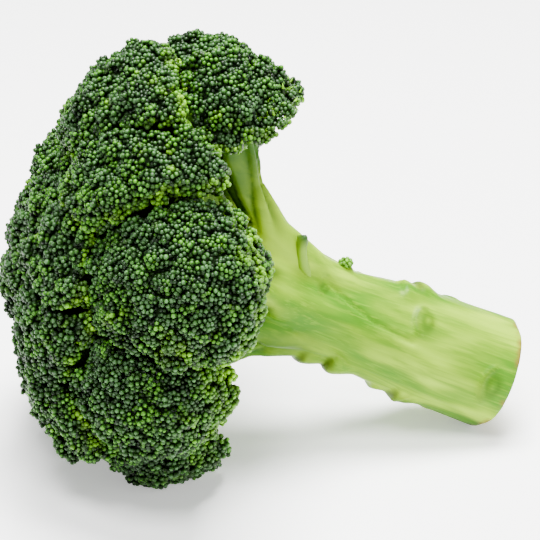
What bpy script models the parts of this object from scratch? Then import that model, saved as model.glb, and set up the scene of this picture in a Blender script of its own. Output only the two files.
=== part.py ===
"""A head of broccoli, cut from its plant and laid on its side.

The head is modelled as it grows: the hub, where the branches meet, is the origin and the crown faces
up (+Z). It is then laid down on the floor (z = 0) with its crown towards -X, where it rests on florets
of the crown's rim and on the lower edge of the cut stalk.

The stalk is one body with its branches and leaf stubs. Each floret is a dense head of its own,
carried by one branch. Florets press against each other, so each fills its own cone round the hub, and
the planes between neighbouring cones are the creases of the crown. A floret's skin is a dome with
rounded clusters on it, and buds, larger than life, stand out of it as studs.
"""

import math
import random
from collections import namedtuple

import bmesh
import bpy
import numpy as np
from mathutils import Matrix, Vector

MM = 0.001

# The crown, measured from the hub.
CROWN_LEAN = math.radians(8)  # the crown's axis leans this far from the stalk's
HEART_DEPTH = 26 * MM  # from the top of a floret's dome down to its heart
FLOOR_OF_CROWN = 50 * MM  # florets lie beyond this distance, branches and stalk within it
HIGH_FLOOR = 67 * MM  # the same for the topmost florets, whose branches show below them
CREASE = 0.8 * MM  # gap between neighbouring florets
JOINT_GAP = 0.3 * MM  # gap between a stem's end and the floret that it carries

# Clusters and buds on a floret.
CLUSTER_PITCH = 14 * MM
CLUSTER_RADIUS = 9.5 * MM
CLUSTER_RISE = 2.2 * MM  # how far a cluster stands out of the dome
BUD_PITCH = 4.4 * MM
BUD_RISE = 0.6 * MM  # a bud's tip above the skin
BUD_VALLEY = 0.8 * MM  # the dip between buds, below the skin
WALL_PITCH = 12 * MM  # spacing of corners on the plain sides between florets
WALL_SHOWN = 13 * MM  # the sides are as finely divided as the dome down to about this depth
RAYS = 2600  # directions that are tried for buds, on each floret

# The stalk, measured along its axis from the hub, and the way that the head lies.
LIE_ANGLE = math.radians(25.7)  # the stalk's slope down to its cut end
PRESSED = 1.2 * MM  # depth of the flat spots where florets press on the floor
CUT_RADIUS = 20.6 * MM
CUT_TRIM = 0.8 * MM  # the cut end's lower edge is blunted by this much
STALK_SIDES = 22
STALK_TOP = 34 * MM

Floret = namedtuple("Floret", "name polar azimuth reach spread weight floor", defaults=(FLOOR_OF_CROWN,))

# polar: angle from the crown's axis; azimuth: round it, 0 up, -90 to the front and 180 down once the
# head is laid down; reach: from the hub to the dome's top; spread: the dome's radius round its axis;
# weight: a heavier floret takes more room from its neighbours; floor: distance of its underside.
FLORETS = (
    Floret("floret_apex", 11, -5, 93 * MM, 38 * MM, 1.00),
    Floret("floret_inner_1", 21, -76, 94.5 * MM, 38 * MM, 1.00),
    Floret("floret_inner_2", 26, -122, 93.5 * MM, 36 * MM, 1.00),
    Floret("floret_inner_3", 14, 130, 94 * MM, 38 * MM, 1.00),
    Floret("floret_inner_4", 22, 70, 94 * MM, 38 * MM, 1.00),
    Floret("floret_mid_1", 35, -42, 99 * MM, 34 * MM, 1.00, HIGH_FLOOR),
    Floret("floret_mid_2", 39, -7, 104 * MM, 34 * MM, 1.01),
    Floret("floret_mid_3", 39, 34, 97 * MM, 33 * MM, 1.00),
    Floret("floret_mid_4", 40, 76, 95 * MM, 33 * MM, 1.00),
    Floret("floret_mid_5", 38, 122, 95 * MM, 34 * MM, 1.00),
    Floret("floret_mid_6", 34, -179, 92 * MM, 33 * MM, 1.00),
    Floret("floret_mid_7", 41, -141, 94.5 * MM, 32 * MM, 1.00),
    Floret("floret_rim_1", 46, -73, 94 * MM, 30 * MM, 1.02),
    Floret("floret_rim_2", 58, -8, 95 * MM, 24 * MM, 1.00, HIGH_FLOOR),
    Floret("floret_rim_3", 57, 26, 94 * MM, 24 * MM, 1.00, HIGH_FLOOR),
    Floret("floret_rim_4", 58, 60, 91 * MM, 27 * MM, 1.00),
    Floret("floret_rim_5", 57, 92, 90 * MM, 27 * MM, 1.00),
    Floret("floret_rim_6", 57, 124, 88 * MM, 26 * MM, 1.00),
    Floret("floret_rim_7", 56, 162, 79 * MM, 25 * MM, 0.99),
    Floret("floret_rim_8", 56, -152, 83 * MM, 25 * MM, 0.99),
    Floret("floret_rim_9", 48, -117, 91 * MM, 26 * MM, 1.01),
)
RIM_POLAR = 45  # florets further than this from the crown's axis, in degrees, belong to the rim

LeafStub = namedtuple("LeafStub", "height azimuth width rise")

# Stubs of trimmed leaf stalks: height along the stalk from the hub, azimuth round it, half width and
# how far the trimmed face stands out.
LEAF_STUBS = (
    LeafStub(-41 * MM, -2, 6 * MM, 3.6 * MM),
    LeafStub(-14 * MM, -172, 8 * MM, 3.4 * MM),
    LeafStub(-26 * MM, -150, 7 * MM, 2.8 * MM),
    LeafStub(-45 * MM, -168, 5 * MM, 3.0 * MM),
    LeafStub(-47 * MM, -46, 7 * MM, 1.0 * MM),
    LeafStub(-28 * MM, 66, 8 * MM, 3.0 * MM),
    LeafStub(-52 * MM, 118, 7 * MM, 2.6 * MM),
)

SideShoot = namedtuple("SideShoot", "name height azimuth length radius")

# Small shoots in the leaf axils, each with a knob of buds.
SIDE_SHOOTS = (SideShoot("side_shoot", -19 * MM, -3, 3 * MM, 2.3 * MM),)

LEAF_GREEN = (0.055, 0.13, 0.022, 1)
STEM_GREEN = (0.42, 0.62, 0.10, 1)


def direction(polar, azimuth):
    """Unit vector at these angles, in degrees, from +Z and round it."""
    polar, azimuth = math.radians(polar), math.radians(azimuth)
    return Vector((math.sin(polar) * math.cos(azimuth), math.sin(polar) * math.sin(azimuth), math.cos(polar)))


def floret_direction(floret):
    """Unit vector from the hub through the floret, with the crown's lean."""
    return Matrix.Rotation(-CROWN_LEAN, 3, "Y") @ direction(floret.polar, floret.azimuth)


def even_rays(count):
    """Unit vectors spread evenly over a sphere, as rows."""
    step = np.arange(count) + 0.5
    height = 1 - 2 * step / count
    turn = step * math.pi * (1 + math.sqrt(5))
    ring = np.sqrt(1 - height**2)
    return np.stack((ring * np.cos(turn), ring * np.sin(turn), height), axis=1)


def spaced(points, pitches, draw):
    """Indices of points that keep their own pitch from all points picked before them."""
    order = sorted(range(len(points)), key=lambda i: (pitches[i], draw.random()))
    picked = []
    for i in order:
        if not picked or np.linalg.norm(points[picked] - points[i], axis=1).min() > pitches[i]:
            picked.append(i)
    return picked


class FloretSkin:
    """The skin of one floret, as a distance from its heart along each ray."""

    def __init__(self, floret, draw):
        axis = floret_direction(floret)
        self.axis = np.array(axis)
        self.heart = self.axis * (floret.reach - HEART_DEPTH)
        self.spread = floret.spread
        self.walls = [(-self.axis, (floret.reach - HEART_DEPTH) - floret.floor)]
        for other in FLORETS:
            if other is not floret:
                normal = (floret_direction(other) * other.weight - axis * floret.weight).normalized()
                self.walls.append((np.array(normal), -CREASE / 2 - self.heart @ np.array(normal)))
        rays = even_rays(200)
        middles = rays[spaced(rays * self.spheroid(rays)[:, None], [CLUSTER_PITCH] * len(rays), draw)]
        self.clusters = middles * (self.spheroid(middles) + CLUSTER_RISE - CLUSTER_RADIUS)[:, None]

    def spheroid(self, rays):
        """Distance along each ray to the plain dome."""
        upward = (rays @ self.axis) ** 2
        return 1 / np.sqrt(upward / HEART_DEPTH**2 + (1 - upward) / self.spread**2)

    def dome(self, rays):
        """Distance along each ray to the dome with its clusters."""
        along = rays @ self.clusters.T
        inside = along**2 - (self.clusters**2).sum(axis=1) + CLUSTER_RADIUS**2
        bumps = np.where(inside > 0, along + np.sqrt(np.maximum(inside, 0)), 0)
        return np.maximum(bumps.max(axis=1), self.spheroid(rays))

    def limit(self, rays):
        """Distance along each ray to the nearest plane that bounds the floret's room."""
        nearest = np.full(len(rays), np.inf)
        for normal, distance in self.walls:
            facing = rays @ normal
            reached = np.where(facing > 1e-6, distance / np.maximum(facing, 1e-6), np.inf)
            nearest = np.minimum(nearest, reached)
        return nearest

    def points(self, rays, rise):
        """Points on the skin, raised by rise where no neighbour or floor stops them."""
        return self.heart + rays * np.minimum(self.dome(rays) + rise, self.limit(rays))[:, None]


def hull_faces(rays):
    """Triangles of the convex hull of unit vectors, facing out. On a sphere they are the Delaunay net."""
    net = bmesh.new()
    corners = [net.verts.new(ray) for ray in rays]
    net.verts.index_update()
    bmesh.ops.convex_hull(net, input=corners)
    bmesh.ops.triangulate(net, faces=net.faces[:])
    bmesh.ops.recalc_face_normals(net, faces=net.faces[:])
    faces = [tuple(corner.index for corner in face.verts) for face in net.faces]
    net.free()
    return faces


def studded_faces(faces, count):
    """Fans of triangles round each corner of a net, so that each corner can stand as a stud.

    Corner i keeps its index, and the middle of face t, a valley between studs, becomes count + t.
    """
    owner = {}
    for t, (a, b, c) in enumerate(faces):
        owner.update({(a, b): t, (b, c): t, (c, a): t})
    return [(a, count + owner[b, a], count + t) for (a, b), t in owner.items()]


def studded_mesh(name, rays, height, skin_points):
    """Mesh of a knob with a stud at each ray, of full height where height is 1, and valleys between."""
    net = hull_faces(rays)
    middles = rays[np.array(net)].sum(axis=1)
    middles /= np.linalg.norm(middles, axis=1)[:, None]
    tips = skin_points(rays, BUD_RISE * height)
    valleys = skin_points(middles, -BUD_VALLEY * height[np.array(net)].mean(axis=1))
    mesh = bpy.data.meshes.new(name)
    mesh.from_pydata([*map(Vector, tips), *map(Vector, valleys)], [], studded_faces(net, len(rays)))
    return mesh


def make_floret(floret, draw):
    """One floret as an object, in the head's own frame."""
    skin = FloretSkin(floret, draw)
    rays = even_rays(RAYS)
    room = skin.limit(rays) - skin.dome(rays)
    pitches = np.interp(-room, (0, WALL_SHOWN), (BUD_PITCH, WALL_PITCH))
    picked = spaced(skin.points(rays, 0), pitches, draw)
    mesh = studded_mesh(floret.name, rays[picked], np.clip(room[picked] / BUD_RISE, 0, 1), skin.points)
    return add_object(floret.name, mesh)


def make_knob(shoot):
    """The knob of buds at the end of a side shoot."""
    rays = even_rays(14)
    outward = shoot_axis(shoot)
    middle = np.array(shoot_end(shoot) + outward * (shoot.radius + JOINT_GAP))

    def skin_points(some_rays, rise):
        flat = some_rays @ np.array(outward)
        reach = np.where(flat < -0.3, -0.3 / np.minimum(flat, -0.3), 1) * shoot.radius
        return middle + some_rays * (reach + 0.5 * np.asarray(rise) * (flat > -0.3))[:, None]

    return add_object(shoot.name, studded_mesh(shoot.name, rays, np.ones(len(rays)), skin_points))


def add_object(name, mesh):
    """Links a new object for a mesh."""
    made = bpy.data.objects.new(name, mesh)
    bpy.context.scene.collection.objects.link(made)
    return made


def limb(name, centres, radii, sides, end_axis=None, broad=None, flatten=1, flutes=0):
    """A closed tube round a path, for stalk, branches and stubs.

    end_axis turns the last ring square to it. broad is a direction across the path in which the
    section keeps its full radius, while it is flattened the other way. flutes is the depth of three
    grooves at the end, as a share of the radius; they fade out towards the start.
    """
    net = bmesh.new()
    rings = []
    for i, (centre, radius) in enumerate(zip(centres, radii, strict=True)):
        tangent = (centres[min(i + 1, len(centres) - 1)] - centres[max(i - 1, 0)]).normalized()
        if end_axis is not None and i == len(centres) - 1:
            tangent = end_axis
        across = (broad or Vector((0.31, 0.95, 0.05))).cross(tangent).normalized()
        other = tangent.cross(across)
        groove = flutes * (i / (len(centres) - 1)) ** 2
        ring = []
        for k in range(sides):
            turn = math.tau * k / sides
            offset = across * math.cos(turn) * flatten + other * math.sin(turn)
            ring.append(net.verts.new(centre + offset * radius * (1 + groove * math.cos(3 * turn))))
        rings.append(ring)
    for low, high in zip(rings, rings[1:]):
        for k in range(sides):
            net.faces.new((low[k - 1], low[k], high[k], high[k - 1]))
    net.faces.new(rings[0][::-1])
    net.faces.new(rings[-1])
    bmesh.ops.recalc_face_normals(net, faces=net.faces[:])
    mesh = bpy.data.meshes.new(name)
    net.to_mesh(mesh)
    net.free()
    return add_object(name, mesh)


def bezier(start, middle, end, share):
    """Point on a curve from start to end that is drawn towards middle."""
    return start.lerp(middle, share).lerp(middle.lerp(end, share), share)


def make_branch(floret):
    """The branch that carries a floret. One to the rim is fluted into three where it divides."""
    axis = floret_direction(floret)
    tip = axis * (floret.floor - JOINT_GAP)
    if floret.polar < RIM_POLAR:
        return limb("branch", [tip * 0.4, tip * 0.75, tip], (6 * MM, 6 * MM, 7 * MM), 7, axis)
    outward = Vector((axis.x, axis.y, 0)).normalized()
    root = outward * 8 * MM + Vector((0, 0, -38 * MM))
    bend = outward * 9 * MM + Vector((0, 0, 12 * MM))
    centres = [bezier(root, bend, tip, share) for share in (0, 0.3, 0.55, 0.78, 1)]
    radii = (7 * MM, 6.6 * MM, 5.2 * MM, 4.6 * MM, 6.4 * MM)
    return limb("branch", centres, radii, 12, axis, flutes=0.28)


def stalk_radius(height):
    """The stalk's radius at this height along its axis, from the hub."""
    heights = (-0.1, -0.06, -0.035, -0.01, 0.012, 0.022, STALK_TOP)
    radii = (CUT_RADIUS, 19.2 * MM, 17.2 * MM, 14.6 * MM, 18.5 * MM, 21 * MM, 15 * MM)
    return float(np.interp(height, heights, radii))


def make_leaf_stub(stub):
    """The stub of a leaf stalk: it swells out of the stalk upwards and ends in a trimmed face."""
    outward = direction(90, stub.azimuth)
    surface = stalk_radius(stub.height)
    low = outward * (surface - 5 * MM) + Vector((0, 0, stub.height - 26 * MM))
    middle = outward * (surface - 3.6 * MM + stub.rise * 0.5) + Vector((0, 0, stub.height - 10 * MM))
    high = outward * (surface - 3.6 * MM + stub.rise) + Vector((0, 0, stub.height))
    radii = (stub.width * 0.5, stub.width * 0.9, stub.width)
    across = outward.cross(Vector((0, 0, 1)))
    return limb("leaf_stub", [low, middle, high], radii, 8, broad=across, flatten=0.5)


def shoot_axis(shoot):
    """The way that a side shoot points: out of the stalk and up."""
    return direction(66, shoot.azimuth)


def shoot_end(shoot):
    """The end of a side shoot's stem."""
    foot = direction(90, shoot.azimuth) * stalk_radius(shoot.height) + Vector((0, 0, shoot.height))
    return foot + shoot_axis(shoot) * shoot.length


def make_side_shoot(shoot):
    """The stem of a side shoot."""
    end = shoot_end(shoot)
    start = end - shoot_axis(shoot) * (shoot.length + 9 * MM)
    radii = (shoot.radius * 1.1, shoot.radius * 0.9)
    return limb("shoot", [start, end], radii, 6, shoot_axis(shoot))


def make_stalk(length):
    """The stalk with its branches, stubs and shoots, joined into one body."""
    heights = [*np.linspace(-length, -8 * MM, 12), 0.002, 0.012, 0.022, STALK_TOP]
    centres = [Vector((0, 0, height)) for height in heights]
    stalk = limb("stalk", centres, [stalk_radius(height) for height in heights], STALK_SIDES)
    for corner in stalk.data.vertices:
        turn = math.atan2(corner.co.y, corner.co.x)
        swell = 0.03 * math.cos(3 * turn + 20 * corner.co.z) + 0.02 * math.cos(5 * turn - 35 * corner.co.z)
        corner.co.xy = corner.co.xy * (1 + swell)
    limbs = [*map(make_branch, FLORETS), *map(make_leaf_stub, LEAF_STUBS), *map(make_side_shoot, SIDE_SHOOTS)]
    join_into(stalk, limbs)
    return stalk


def join_into(body, limbs):
    """Joins overlapping solids into body with one Boolean union, and removes them."""
    group = bpy.data.collections.new("joined")
    bpy.context.scene.collection.children.link(group)
    for one in limbs:
        group.objects.link(one)
    union = body.modifiers.new("union", "BOOLEAN")
    union.operation = "UNION"
    union.operand_type = "COLLECTION"
    union.collection = group
    union.solver = "MANIFOLD"
    graph = bpy.context.evaluated_depsgraph_get()
    joined = bpy.data.meshes.new_from_object(body.evaluated_get(graph), depsgraph=graph)
    body.modifiers.remove(union)
    body.data = joined
    for one in limbs:
        bpy.data.objects.remove(one)
    bpy.data.collections.remove(group)


def lay_down(made, hub_height):
    """Turns an object from the head's own frame to the way that it lies, with the hub over x = y = 0."""
    turn = Matrix.Rotation(LIE_ANGLE - math.pi / 2, 4, "Y")
    made.data.transform(Matrix.Translation((0, 0, hub_height)) @ turn)


def lowest(made):
    """The lowest corner's height."""
    return min(corner.co.z for corner in made.data.vertices)


def flatten_foot(made):
    """Cuts off what would lie under the floor, which leaves a flat spot on it."""
    if lowest(made) >= 0:
        return
    net = bmesh.new()
    net.from_mesh(made.data)
    everything = net.verts[:] + net.edges[:] + net.faces[:]
    floor = {"plane_co": (0, 0, 0), "plane_no": (0, 0, 1)}
    cut = bmesh.ops.bisect_plane(net, geom=everything, clear_inner=True, **floor)
    rim = [piece for piece in cut["geom_cut"] if isinstance(piece, bmesh.types.BMEdge)]
    bmesh.ops.holes_fill(net, edges=rim, sides=0)
    bmesh.ops.recalc_face_normals(net, faces=net.faces[:])
    net.to_mesh(made.data)
    net.free()


def material(name, colour, roughness):
    """A plain material for the sub-part."""
    made = bpy.data.materials.new(name)
    made.use_nodes = True
    shader = made.node_tree.nodes["Principled BSDF"]
    shader.inputs["Base Color"].default_value = colour
    shader.inputs["Roughness"].default_value = roughness
    return made


def centre_on_origin(objects):
    """Slides everything level, so that the origin is under the middle of the whole head's box."""
    corners = np.array([corner.co for made in objects for corner in made.data.vertices])
    middle = (corners.min(axis=0) + corners.max(axis=0)) / 2
    for made in objects:
        made.data.transform(Matrix.Translation((-middle[0], -middle[1], 0)))


def main():
    for old in list(bpy.data.objects):
        bpy.data.objects.remove(old)
    draw = random.Random(7)
    florets = [make_floret(floret, draw) for floret in FLORETS]
    for made in florets:
        lay_down(made, 0)
    hub_height = -min(map(lowest, florets)) - PRESSED
    for made in florets:
        made.data.transform(Matrix.Translation((0, 0, hub_height)))
    length = (hub_height + CUT_TRIM - CUT_RADIUS * math.cos(LIE_ANGLE)) / math.sin(LIE_ANGLE)
    stalk = make_stalk(length)
    knobs = [make_knob(shoot) for shoot in SIDE_SHOOTS]
    for made in [stalk, *knobs]:
        lay_down(made, hub_height)
    objects = [stalk, *florets, *knobs]
    for made in objects:
        flatten_foot(made)
    centre_on_origin(objects)
    stem_green = material("stalk_flesh", STEM_GREEN, 0.45)
    leaf_green = material("flower_buds", LEAF_GREEN, 0.6)
    for made in objects:
        made.data.materials.append(stem_green if made is stalk else leaf_green)


main()
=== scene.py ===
"""A broccoli head that lies on its side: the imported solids, dressed with buds, stems and flesh.

Each solid floret is replaced by a bed with thousands of closed buds on it, and the solid stalk by
smooth flesh with veins, creases, leaf scars and a cut face. Every length is in metres. Places are
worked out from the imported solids, or given in the head's own frame, about the hub.
"""

from __future__ import annotations

import logging
import math
import random
from abc import ABC, abstractmethod
from dataclasses import dataclass, field
from enum import Enum

import bmesh
import bpy
import numpy as np
from mathutils import Matrix, Vector, noise
from mathutils.bvhtree import BVHTree


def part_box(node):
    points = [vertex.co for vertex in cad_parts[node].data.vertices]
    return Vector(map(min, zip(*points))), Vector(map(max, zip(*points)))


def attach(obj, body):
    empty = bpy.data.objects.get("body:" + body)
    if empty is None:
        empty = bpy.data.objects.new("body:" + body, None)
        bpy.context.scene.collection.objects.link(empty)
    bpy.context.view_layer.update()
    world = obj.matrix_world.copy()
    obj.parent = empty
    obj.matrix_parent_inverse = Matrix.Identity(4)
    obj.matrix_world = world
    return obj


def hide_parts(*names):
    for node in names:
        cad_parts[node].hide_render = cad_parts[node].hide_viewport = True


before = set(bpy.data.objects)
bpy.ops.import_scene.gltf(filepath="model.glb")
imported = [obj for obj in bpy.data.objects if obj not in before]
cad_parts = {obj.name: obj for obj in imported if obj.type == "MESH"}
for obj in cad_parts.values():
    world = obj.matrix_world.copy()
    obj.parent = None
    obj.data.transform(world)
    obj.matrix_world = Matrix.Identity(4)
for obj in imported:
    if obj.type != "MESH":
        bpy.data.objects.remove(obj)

MM = 0.001
HUB = Vector((4.29, -2.04, 55.66)) * MM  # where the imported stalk's branches meet
log = logging.getLogger("broccoli")

# Names of the nodes, settings and inputs that the trees use most.
ATTRIBUTE = "ShaderNodeAttribute"
BUMP = "ShaderNodeBump"
MATH = "ShaderNodeMath"
MIX = "ShaderNodeMix"
NOISE = "ShaderNodeTexNoise"
PLACES = "ShaderNodeTexCoord"
RAMP = "ShaderNodeValToRGB"
RANGE = "ShaderNodeMapRange"
VECTOR_MATH = "ShaderNodeVectorMath"
VORONOI = "ShaderNodeTexVoronoi"
NAMED = "GeometryNodeInputNamedAttribute"
RANDOM = "FunctionNodeRandomValue"
STORE = "GeometryNodeStoreNamedAttribute"
COLOUR = {"data_type": "RGBA"}
TIMES = {"operation": "MULTIPLY"}
TIMES_CLAMPED = {"operation": "MULTIPLY", "use_clamp": True}
TIMES_PLUS = {"operation": "MULTIPLY_ADD"}
RANGE_INPUTS = ("Value", "From Min", "From Max", "To Min", "To Max")


class Slot(Enum):
    """The record's material slots."""

    FLESH = "stalk_flesh"
    BUDS = "flower_buds"


def linear(hex_colour: str) -> tuple[float, float, float, float]:
    """Turns sRGB, given as six hex digits after a hash, to linear red, green and blue with an alpha of 1."""
    channels = [int(hex_colour[i : i + 2], 16) / 255 for i in (1, 3, 5)]
    return (*(c / 12.92 if c <= 0.04045 else ((c + 0.055) / 1.055) ** 2.4 for c in channels), 1.0)


def add_node(
    tree: bpy.types.NodeTree,
    kind: str,
    settings: dict[str, object] | None = None,
    inputs: dict[str | int, object] | None = None,
    stops: dict[float, str] | None = None,
) -> bpy.types.Node:
    """Adds a node with its settings and links.

    Args:
        tree: the shader or geometry tree to add to.
        kind: the node's type name.
        settings: values of the node's own properties.
        inputs: for each input, by name or number, a value to set or an output socket to link.
        stops: a colour ramp's hex colours, by position.

    Returns:
        The new node.
    """
    node = tree.nodes.new(kind)
    for name, value in (settings or {}).items():
        setattr(node, name, value)
    for key, value in (inputs or {}).items():
        if isinstance(value, bpy.types.NodeSocket):
            tree.links.new(value, node.inputs[key])
        else:
            node.inputs[key].default_value = value
    if stops:
        elements = node.color_ramp.elements
        elements.remove(elements[0])
        for i, (position, colour) in enumerate(stops.items()):
            element = elements[0] if i == 0 else elements.new(position)
            element.position = position
            element.color = linear(colour)
    return node


@dataclass(frozen=True)
class HeadFrame:
    """The head's own frame: its origin is the hub, where the branches meet, and +Z grows up."""

    hub: Vector
    lie_angle: float = math.radians(25.7)

    @property
    def turn(self) -> Matrix:
        """Rotation from the head's frame to the way that it lies."""
        return Matrix.Rotation(self.lie_angle - math.pi / 2, 3, "Y")

    def to_head(self, points: np.ndarray) -> np.ndarray:
        """Points of the lying head, in the head's own frame."""
        return (points - np.array(self.hub)) @ np.array(self.turn)

    def to_world(self, point: Vector) -> Vector:
        """A point of the head's own frame, where it lies."""
        return self.hub + self.turn @ point


@dataclass(frozen=True)
class Finish(ABC):
    """A finish that a surface gets. Subclasses say what the real one is made of."""

    name: str

    def material(self) -> bpy.types.Material:
        """Makes the finish's material, once.

        Returns:
            The material.
        """
        made = bpy.data.materials.get(self.name)
        if made is None:
            made = bpy.data.materials.new(self.name)
            made.use_nodes = True
            tree = made.node_tree
            self.shade(tree, tree.nodes["Principled BSDF"])
        return made

    @abstractmethod
    def shade(self, tree: bpy.types.NodeTree, shader: bpy.types.Node) -> None:
        """Adds the nodes that lead to the Principled shader to the material's tree."""


@dataclass(frozen=True)
class BudFinish(Finish):
    """Closed flower buds: deep green sepals with a matt wax bloom on their tips.

    The wax turns the tips grey-green and spreads their highlight. Young buds and the short stems
    under the buds have no wax and show a fresh lime green.
    """

    # The foot of each bud: its sepals' own dark green, deepened as painted shade where buds crowd together.
    deep: str = "#0f2207"
    body: str = "#1c3a10"
    upper: str = "#234415"
    bloom: str = "#436440"
    fresh_upper: str = "#26540a"
    fresh_tip: str = "#487f17"
    lime_deep: str = "#2a5600"
    lime_tip: str = "#70a80a"
    stem: str = "#5f960a"
    between: float = 0.32  # painted shade: how bright buds are kept that stand between clusters or tufts
    stem_top: float = -0.02  # below this value of tip, a bud's mesh is its stem
    roughness: float = 0.33
    specular: float = 0.15

    def shade(self, tree: bpy.types.NodeTree, shader: bpy.types.Node) -> None:
        """Colours each bud from its foot to its tip, by its cluster, its own tone and its age, with painted
        shade at the foot and between clusters and tufts.

        Args:
            tree: the material's nodes.
            shader: its Principled shader.
        """
        read = {
            name: add_node(tree, ATTRIBUTE, {"attribute_name": name}).outputs["Fac"]
            for name in ("tip", "family", "fresh", "lime", "tone", "border", "painted_crevice_shade")
        }
        # The ramps run from each bud's foot, darkened partly as painted shade, to its tip.
        waxed, fresh, young = (
            add_node(tree, RAMP, None, {"Fac": read["tip"]}, stops).outputs["Color"]
            for stops in (
                {0.0: self.deep, 0.4: self.body, 0.76: self.upper, 1.0: self.bloom},
                {0.0: self.deep, 0.4: self.body, 0.74: self.fresh_upper, 1.0: self.fresh_tip},
                {0.1: self.lime_deep, 0.9: self.lime_tip},
            )
        )
        near = add_node(tree, MATH, {"operation": "ADD"}, {0: read["family"], 1: read["fresh"]}).outputs[0]
        # sunk and low are painted shade: they darken buds near a cluster's edge and in the crevices between
        # tufts.
        is_fresh, is_young, own, sunk, low = (
            add_node(tree, RANGE, None, dict(zip(RANGE_INPUTS, values))).outputs[0]
            for values in (
                (near, 0.5, 0.95, 0.0, 1.0),
                (read["family"], 0.25, 0.7, 0.25, 1.0),
                (read["tone"], 0.0, 1.0, 0.6, 1.5),
                (read["border"], 0.03, 0.14, self.between, 1.0),
                (read["painted_crevice_shade"], 0.0, 1.0, 1.0, self.between),
            )
        )
        youth = add_node(tree, MATH, TIMES, {0: read["lime"], 1: is_young}).outputs[0]
        colour = waxed
        for share, layer in ((is_fresh, fresh), (youth, young)):
            colour = add_node(tree, MIX, COLOUR, {"Factor": share, "A": colour, "B": layer}).outputs["Result"]
        gap_shade = add_node(tree, MATH, TIMES, {0: low, 1: sunk}).outputs[0]
        tone_and_gap_shade = add_node(tree, MATH, TIMES, {0: own, 1: gap_shade}).outputs[0]
        varied = add_node(tree, "ShaderNodeHueSaturation", None, {"Value": tone_and_gap_shade, "Color": colour})
        inputs = {0: read["tip"], 1: self.stem_top}
        is_stem = add_node(tree, MATH, {"operation": "LESS_THAN"}, inputs).outputs[0]
        inputs = {"Factor": is_stem, "A": varied.outputs["Color"], "B": linear(self.stem)}
        skin = add_node(tree, MIX, COLOUR, inputs).outputs["Result"]
        tree.links.new(skin, shader.inputs["Base Color"])
        shader.inputs["Roughness"].default_value = self.roughness
        shader.inputs["Specular IOR Level"].default_value = self.specular


@dataclass(frozen=True)
class BedFinish(Finish):
    """The floret's tissue under the buds: between them a dark green deepened to nearly black as painted
    shade, lime below the crown.

    It is dull and rough, which keeps the gaps between buds quiet. Its mottle is as fine as the buds.
    """

    # Painted shade: the nearly black green of the gaps between buds.
    shaded: str = "#0d1b06"
    fresh: str = "#203f05"
    pitch: float = 1.6 * MM
    gain: float = 1.7
    relief: float = 0.4 * MM

    def shade(self, tree: bpy.types.NodeTree, shader: bpy.types.Node) -> None:
        """Blends the two greens by the bed's underside and the mottle.

        Args:
            tree: the material's nodes.
            shader: its Principled shader.
        """
        place = add_node(tree, PLACES).outputs["Object"]
        under = add_node(tree, ATTRIBUTE, {"attribute_name": "under"}).outputs["Fac"]
        inputs = {"Vector": place, "Scale": 1 / self.pitch, "Detail": 3.0}
        grain = add_node(tree, NOISE, None, inputs).outputs["Fac"]
        share = add_node(tree, MATH, TIMES_CLAMPED, {0: under, 1: grain}).outputs[0]
        share = add_node(tree, MATH, TIMES_CLAMPED, {0: share, 1: self.gain}).outputs[0]
        inputs = {"Factor": share, "A": linear(self.shaded), "B": linear(self.fresh)}
        green = add_node(tree, MIX, COLOUR, inputs).outputs["Result"]
        inputs = {"Height": grain, "Strength": 0.6, "Distance": self.relief}
        tree.links.new(green, shader.inputs["Base Color"])
        tree.links.new(add_node(tree, BUMP, None, inputs).outputs["Normal"], shader.inputs["Normal"])
        shader.inputs["Roughness"].default_value = 0.8
        shader.inputs["Specular IOR Level"].default_value = 0.05


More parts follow.
